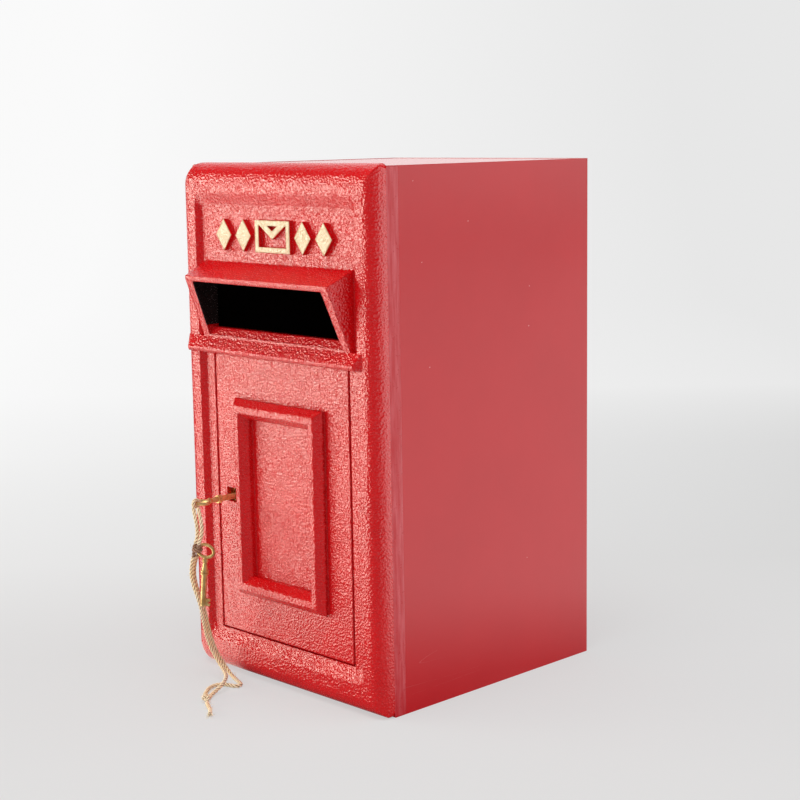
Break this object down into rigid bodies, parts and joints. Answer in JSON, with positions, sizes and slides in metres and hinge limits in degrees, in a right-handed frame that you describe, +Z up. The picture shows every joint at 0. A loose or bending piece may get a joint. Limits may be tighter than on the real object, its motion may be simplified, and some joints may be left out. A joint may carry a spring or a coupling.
{
  "type": "cast iron letter box",
  "caption": "Wall letter box: red cast front with hooded letter slot and lockable hinged door on a folded sheet case, a key in the lock and a spare key hanging on twine",
  "frame": {"origin": "on the resting face, midway across the box and midway between the front border's crest and the back", "axes": "+Z up, +X to the right seen from the front, +Y from the front to the back"},
  "size_m": [0.2468, 0.3512, 0.452],
  "materials": {
    "cast_paint": "glossy red paint over a rough casting",
    "sheet_paint": "smooth semi-gloss red paint",
    "sealant": "painted over",
    "steel": "turned",
    "zinc": "zinc plated",
    "lock_case": "black japanned",
    "brass": "machined",
    "key_brass": "polished, a little worn",
    "twine": "jute"
  },
  "bodies": {
    "box": {"cast_front": "cast_paint", "case_wrap": "sheet_paint", "case_floor": "sheet_paint", "case_top": "sheet_paint", "front_screws": "zinc", "front_washers": "zinc", "seam_sealant": "sealant", "hinge_pin_bottom": "steel", "hinge_pin_top": "steel", "hinge_washers": "brass"},
    "door": {"cast_door": "cast_paint", "lock_face": "brass", "lock_body": "lock_case", "lock_screws": "zinc"},
    "lock_barrel": {"lock_plug": "brass", "drill_pin": "steel", "lock_cam": "zinc", "cam_washer": "zinc", "cam_screw": "zinc"},
    "twine": {"twine_upper_left": "twine", "twine_upper_right": "twine", "twine_lower_left": "twine", "twine_lower_right": "twine", "twine_knot": "twine", "twine_tail": "twine"},
    "key": {"key_in_lock": "key_brass", "key_hitch": "twine"},
    "spare": {"spare_key": "key_brass", "spare_hitch": "twine"}
  },
  "joints": [
    {"name": "door_swing", "type": "hinge", "parent": "box", "child": "door", "pos_m": [0.067, -0.118, 0.163], "axis": [0, 0, 1], "range_deg": [0, 105]},
    {"name": "lock_turn", "type": "hinge", "parent": "door", "child": "lock_barrel", "pos_m": [-0.066, -0.112, 0.161], "axis": [0, 1, 0], "range_deg": [0, 90]},
    {"name": "key_pull", "type": "slide", "parent": "door", "child": "twine", "axis": [0, -1, 0], "range_m": [0, 0.04]},
    {"name": "key_turn", "type": "hinge", "parent": "twine", "child": "key", "pos_m": [-0.066, -0.163, 0.161], "axis": [0, 1, 0], "range_deg": [0, 90]},
    {"name": "spare_swing", "type": "hinge", "parent": "twine", "child": "spare", "pos_m": [-0.0625, -0.172, 0.1214], "axis": [0.9063, 0.4226, 0], "range_deg": [-35, 0]}
  ],
  "couplings": [
    {"joint": "lock_turn", "follows": "key_turn", "ratio": 1}
  ]
}
